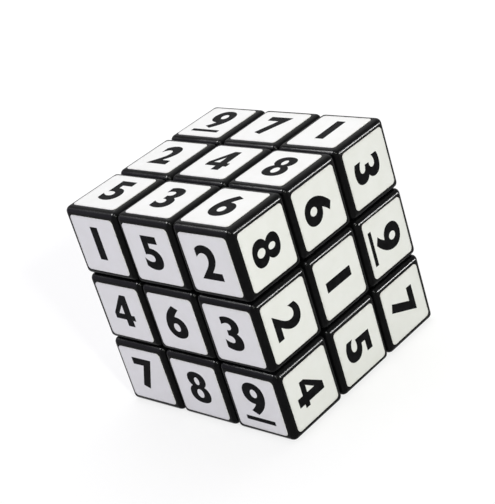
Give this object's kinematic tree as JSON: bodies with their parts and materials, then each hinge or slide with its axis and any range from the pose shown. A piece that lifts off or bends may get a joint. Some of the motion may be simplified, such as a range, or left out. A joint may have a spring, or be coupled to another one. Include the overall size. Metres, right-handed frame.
{
  "type": "number puzzle cube",
  "caption": "Black twisty puzzle cube with white numbered stickers; each face turns on a spring-loaded centre screwed to an inner core and carries its hooked edges and corners.",
  "frame": {"origin": "middle of the core, where the turning axes of all faces meet; also the middle of the cube", "axes": "+Z towards the face that is on top in the picture, -Y towards the face at the lower left (front), +X towards the face at the right"},
  "size_m": [0.0574, 0.0574, 0.0574],
  "materials": {
    "black_abs": "glossy black moulded plastic under white vinyl stickers with black numerals",
    "core_nylon": "plain moulded nylon, inside the cube",
    "zinc_plated_steel": "bright zinc plating",
    "spring_steel": "drawn spring wire"
  },
  "bodies": {
    "core": {"core": "core_nylon", "screw_up": "zinc_plated_steel", "washer_up": "zinc_plated_steel", "spring_up": "spring_steel", "screw_down": "zinc_plated_steel", "washer_down": "zinc_plated_steel", "spring_down": "spring_steel", "screw_right": "zinc_plated_steel", "washer_right": "zinc_plated_steel", "spring_right": "spring_steel", "screw_left": "zinc_plated_steel", "washer_left": "zinc_plated_steel", "spring_left": "spring_steel", "screw_front": "zinc_plated_steel", "washer_front": "zinc_plated_steel", "spring_front": "spring_steel", "screw_back": "zinc_plated_steel", "washer_back": "zinc_plated_steel", "spring_back": "spring_steel"},
    "centre_up": {"centre_up": "black_abs", "centre_cap_up": "black_abs"},
    "centre_down": {"centre_down": "black_abs", "centre_cap_down": "black_abs"},
    "centre_right": {"centre_right": "black_abs", "centre_cap_right": "black_abs"},
    "centre_left": {"centre_left": "black_abs", "centre_cap_left": "black_abs"},
    "centre_front": {"centre_front": "black_abs", "centre_cap_front": "black_abs"},
    "centre_back": {"centre_back": "black_abs", "centre_cap_back": "black_abs"},
    "edge_up_right": {"edge_up_right": "black_abs"},
    "edge_up_left": {"edge_up_left": "black_abs"},
    "edge_down_right": {"edge_down_right": "black_abs"},
    "edge_down_left": {"edge_down_left": "black_abs"},
    "edge_right_front": {"edge_right_front": "black_abs"},
    "edge_right_back": {"edge_right_back": "black_abs"},
    "edge_left_front": {"edge_left_front": "black_abs"},
    "edge_left_back": {"edge_left_back": "black_abs"},
    "edge_front_up": {"edge_front_up": "black_abs"},
    "edge_front_down": {"edge_front_down": "black_abs"},
    "edge_back_up": {"edge_back_up": "black_abs"},
    "edge_back_down": {"edge_back_down": "black_abs"},
    "corner_up_right_front": {"corner_up_right_front": "black_abs"},
    "corner_up_right_back": {"corner_up_right_back": "black_abs"},
    "corner_up_left_front": {"corner_up_left_front": "black_abs"},
    "corner_up_left_back": {"corner_up_left_back": "black_abs"},
    "corner_down_right_front": {"corner_down_right_front": "black_abs"},
    "corner_down_right_back": {"corner_down_right_back": "black_abs"},
    "corner_down_left_front": {"corner_down_left_front": "black_abs"},
    "corner_down_left_back": {"corner_down_left_back": "black_abs"}
  },
  "joints": [
    {"name": "turn_up", "type": "hinge", "parent": "core", "child": "centre_up", "pos_m": [0, 0, 0], "axis": [0, 0, 1], "continuous": true},
    {"name": "turn_down", "type": "hinge", "parent": "core", "child": "centre_down", "pos_m": [0, 0, 0], "axis": [0, 0, -1], "continuous": true},
    {"name": "turn_right", "type": "hinge", "parent": "core", "child": "centre_right", "pos_m": [0, 0, 0], "axis": [1, 0, 0], "continuous": true},
    {"name": "turn_left", "type": "hinge", "parent": "core", "child": "centre_left", "pos_m": [0, 0, 0], "axis": [-1, 0, 0], "continuous": true},
    {"name": "turn_front", "type": "hinge", "parent": "core", "child": "centre_front", "pos_m": [0, 0, 0], "axis": [0, -1, 0], "continuous": true},
    {"name": "turn_back", "type": "hinge", "parent": "core", "child": "centre_back", "pos_m": [0, 0, 0], "axis": [0, 1, 0], "continuous": true},
    {"name": "edge_up_right_with_right", "type": "hinge", "parent": "centre_up", "child": "edge_up_right", "pos_m": [0, 0, 0], "axis": [1, 0, 0], "continuous": true},
    {"name": "edge_up_left_with_left", "type": "hinge", "parent": "centre_up", "child": "edge_up_left", "pos_m": [0, 0, 0], "axis": [-1, 0, 0], "continuous": true},
    {"name": "edge_down_right_with_right", "type": "hinge", "parent": "centre_down", "child": "edge_down_right", "pos_m": [0, 0, 0], "axis": [1, 0, 0], "continuous": true},
    {"name": "edge_down_left_with_left", "type": "hinge", "parent": "centre_down", "child": "edge_down_left", "pos_m": [0, 0, 0], "axis": [-1, 0, 0], "continuous": true},
    {"name": "edge_right_front_with_front", "type": "hinge", "parent": "centre_right", "child": "edge_right_front", "pos_m": [0, 0, 0], "axis": [0, -1, 0], "continuous": true},
    {"name": "edge_right_back_with_back", "type": "hinge", "parent": "centre_right", "child": "edge_right_back", "pos_m": [0, 0, 0], "axis": [0, 1, 0], "continuous": true},
    {"name": "edge_left_front_with_front", "type": "hinge", "parent": "centre_left", "child": "edge_left_front", "pos_m": [0, 0, 0], "axis": [0, -1, 0], "continuous": true},
    {"name": "edge_left_back_with_back", "type": "hinge", "parent": "centre_left", "child": "edge_left_back", "pos_m": [0, 0, 0], "axis": [0, 1, 0], "continuous": true},
    {"name": "edge_front_up_with_up", "type": "hinge", "parent": "centre_front", "child": "edge_front_up", "pos_m": [0, 0, 0], "axis": [0, 0, 1], "continuous": true},
    {"name": "edge_front_down_with_down", "type": "hinge", "parent": "centre_front", "child": "edge_front_down", "pos_m": [0, 0, 0], "axis": [0, 0, -1], "continuous": true},
    {"name": "edge_back_up_with_up", "type": "hinge", "parent": "centre_back", "child": "edge_back_up", "pos_m": [0, 0, 0], "axis": [0, 0, 1], "continuous": true},
    {"name": "edge_back_down_with_down", "type": "hinge", "parent": "centre_back", "child": "edge_back_down", "pos_m": [0, 0, 0], "axis": [0, 0, -1], "continuous": true},
    {"name": "corner_up_right_front_with_front", "type": "hinge", "parent": "edge_up_right", "child": "corner_up_right_front", "pos_m": [0, 0, 0], "axis": [0, -1, 0], "continuous": true},
    {"name": "corner_up_right_back_with_back", "type": "hinge", "parent": "edge_up_right", "child": "corner_up_right_back", "pos_m": [0, 0, 0], "axis": [0, 1, 0], "continuous": true},
    {"name": "corner_up_left_front_with_front", "type": "hinge", "parent": "edge_up_left", "child": "corner_up_left_front", "pos_m": [0, 0, 0], "axis": [0, -1, 0], "continuous": true},
    {"name": "corner_up_left_back_with_back", "type": "hinge", "parent": "edge_up_left", "child": "corner_up_left_back", "pos_m": [0, 0, 0], "axis": [0, 1, 0], "continuous": true},
    {"name": "corner_down_right_front_with_front", "type": "hinge", "parent": "edge_down_right", "child": "corner_down_right_front", "pos_m": [0, 0, 0], "axis": [0, -1, 0], "continuous": true},
    {"name": "corner_down_right_back_with_back", "type": "hinge", "parent": "edge_down_right", "child": "corner_down_right_back", "pos_m": [0, 0, 0], "axis": [0, 1, 0], "continuous": true},
    {"name": "corner_down_left_front_with_front", "type": "hinge", "parent": "edge_down_left", "child": "corner_down_left_front", "pos_m": [0, 0, 0], "axis": [0, -1, 0], "continuous": true},
    {"name": "corner_down_left_back_with_back", "type": "hinge", "parent": "edge_down_left", "child": "corner_down_left_back", "pos_m": [0, 0, 0], "axis": [0, 1, 0], "continuous": true}
  ],
  "couplings": [
    {"joint": "edge_up_right_with_right", "follows": "turn_right", "ratio": 1},
    {"joint": "edge_up_left_with_left", "follows": "turn_left", "ratio": 1},
    {"joint": "edge_down_right_with_right", "follows": "turn_right", "ratio": 1},
    {"joint": "edge_down_left_with_left", "follows": "turn_left", "ratio": 1},
    {"joint": "edge_right_front_with_front", "follows": "turn_front", "ratio": 1},
    {"joint": "edge_right_back_with_back", "follows": "turn_back", "ratio": 1},
    {"joint": "edge_left_front_with_front", "follows": "turn_front", "ratio": 1},
    {"joint": "edge_left_back_with_back", "follows": "turn_back", "ratio": 1},
    {"joint": "edge_front_up_with_up", "follows": "turn_up", "ratio": 1},
    {"joint": "edge_front_down_with_down", "follows": "turn_down", "ratio": 1},
    {"joint": "edge_back_up_with_up", "follows": "turn_up", "ratio": 1},
    {"joint": "edge_back_down_with_down", "follows": "turn_down", "ratio": 1},
    {"joint": "corner_up_right_front_with_front", "follows": "turn_front", "ratio": 1},
    {"joint": "corner_up_right_back_with_back", "follows": "turn_back", "ratio": 1},
    {"joint": "corner_up_left_front_with_front", "follows": "turn_front", "ratio": 1},
    {"joint": "corner_up_left_back_with_back", "follows": "turn_back", "ratio": 1},
    {"joint": "corner_down_right_front_with_front", "follows": "turn_front", "ratio": 1},
    {"joint": "corner_down_right_back_with_back", "follows": "turn_back", "ratio": 1},
    {"joint": "corner_down_left_front_with_front", "follows": "turn_front", "ratio": 1},
    {"joint": "corner_down_left_back_with_back", "follows": "turn_back", "ratio": 1}
  ]
}
